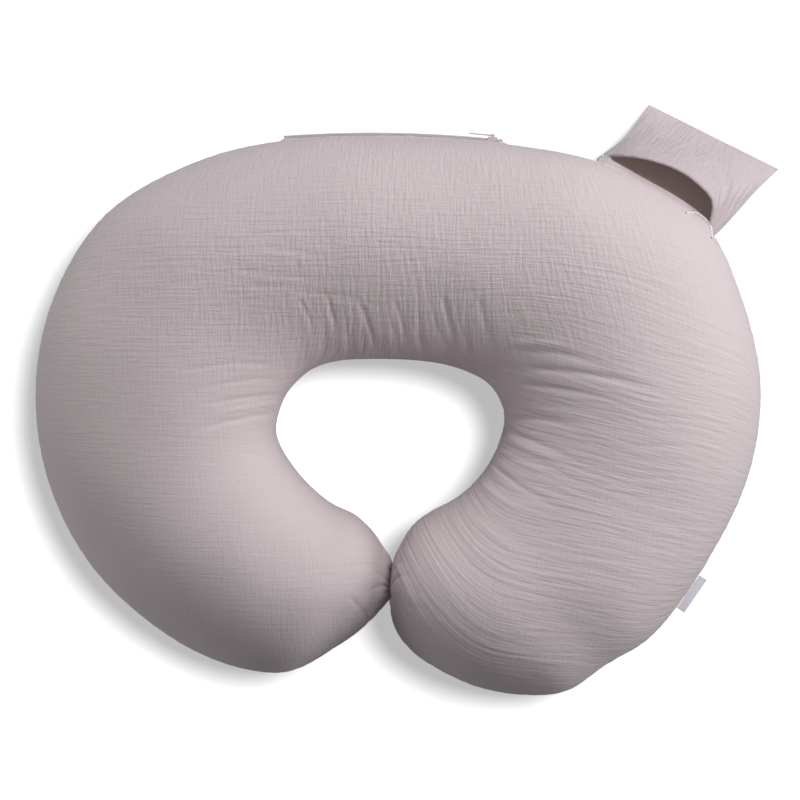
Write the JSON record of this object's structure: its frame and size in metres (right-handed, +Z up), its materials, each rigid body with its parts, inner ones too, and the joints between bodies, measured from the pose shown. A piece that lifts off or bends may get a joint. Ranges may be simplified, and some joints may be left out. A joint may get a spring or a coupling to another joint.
{
  "type": "nursing pillow",
  "caption": "C-shaped fibre-filled nursing pillow in a zipped muslin cover, with a small zipped pocket and a blank label in its outer seam.",
  "frame": {"origin": "centre of the whole object's outline, on the surface the pillow lies on", "axes": "+X along the pillow's length, the pocket's side; +Y from the arms' tips towards the middle of the back; +Z up"},
  "size_m": [0.6186, 0.492, 0.164],
  "materials": {
    "muslin": "crinkled double-gauze cotton muslin, matt, greige mauve",
    "liner_cotton": "plain white cotton lining",
    "fibre_fill": "loose silicone-coated polyester fibre",
    "zip_tape": "woven polyester zip tape",
    "zip_coil": "white nylon monofilament coil",
    "zip_metal": "die-cast, nickel coloured",
    "zip_enamel": "die-cast, white enamel",
    "label_satin": "woven satin tape, unprinted"
  },
  "bodies": {
    "pillow": {"cover_top_panel": "muslin", "cover_bottom_panel": "muslin", "liner_top_panel": "liner_cotton", "liner_bottom_panel": "liner_cotton", "fill_back": "fibre_fill", "cover_zip_tape_upper": "zip_tape", "cover_zip_tape_lower": "zip_tape", "cover_zip_coil_upper": "zip_coil", "cover_zip_coil_lower": "zip_coil", "cover_zip_stops": "zip_metal", "pocket_zip_tape_seam": "zip_tape", "pocket_zip_coil_seam": "zip_coil", "pocket_zip_stops": "zip_coil"},
    "left_arm": {"fill_left_arm": "fibre_fill"},
    "right_arm": {"fill_right_arm": "fibre_fill"},
    "label": {"brand_label": "label_satin"},
    "cover_slider": {"cover_zip_slider": "zip_metal"},
    "cover_pull": {"cover_zip_pull": "zip_metal"},
    "pocket": {"pocket_back_panel": "muslin", "pocket_front_panel": "muslin", "pocket_mouth_binding": "muslin", "pocket_zip_tape_mouth": "zip_tape", "pocket_zip_coil_mouth": "zip_coil"},
    "pocket_slider": {"pocket_zip_slider": "zip_enamel"},
    "pocket_pull": {"pocket_zip_pull": "zip_enamel"}
  },
  "joints": [
    {"name": "left_arm_bend", "type": "hinge", "parent": "pillow", "child": "left_arm", "pos_m": [-0.24633, 0.06755, 0.078], "axis": [0, 0, -1], "range_deg": [0, 20], "stiffness_Nm_per_rad": 4, "deforming": ["cover_top_panel", "cover_bottom_panel", "liner_top_panel", "liner_bottom_panel"]},
    {"name": "right_arm_bend", "type": "hinge", "parent": "pillow", "child": "right_arm", "pos_m": [0.23027, 0.06778, 0.078], "axis": [0, 0, 1], "range_deg": [0, 20], "stiffness_Nm_per_rad": 4, "deforming": ["cover_top_panel", "cover_bottom_panel", "liner_top_panel", "liner_bottom_panel"]},
    {"name": "label_flex", "type": "hinge", "parent": "right_arm", "child": "label", "pos_m": [0.23328, -0.15971, 0.078], "axis": [-0.5679, -0.8231, 0], "range_deg": [-70, 70], "stiffness_Nm_per_rad": 0.002},
    {"name": "cover_zip_travel", "type": "hinge", "parent": "pillow", "child": "cover_slider", "pos_m": [-0.029, -0.791, 0.078], "axis": [0, 0, 1], "range_deg": [0, 9.3]},
    {"name": "cover_pull_swing", "type": "hinge", "parent": "cover_slider", "child": "cover_pull", "pos_m": [0.07129, 0.21868, 0.078], "axis": [0, 0, -1], "range_deg": [0, 170]},
    {"name": "pocket_fold", "type": "hinge", "parent": "pillow", "child": "pocket", "pos_m": [0.16, 0.202, 0.078], "axis": [0.8721, -0.4894, 0], "range_deg": [0, 42]},
    {"name": "pocket_zip_travel", "type": "slide", "parent": "pillow", "child": "pocket_slider", "axis": [0.8721, -0.4894, 0], "range_m": [0, 0.086]},
    {"name": "pocket_pull_swing", "type": "hinge", "parent": "pocket_slider", "child": "pocket_pull", "pos_m": [0.16713, 0.19938, 0.08059], "axis": [-0.4894, -0.8721, 0], "range_deg": [0, 170]}
  ]
}
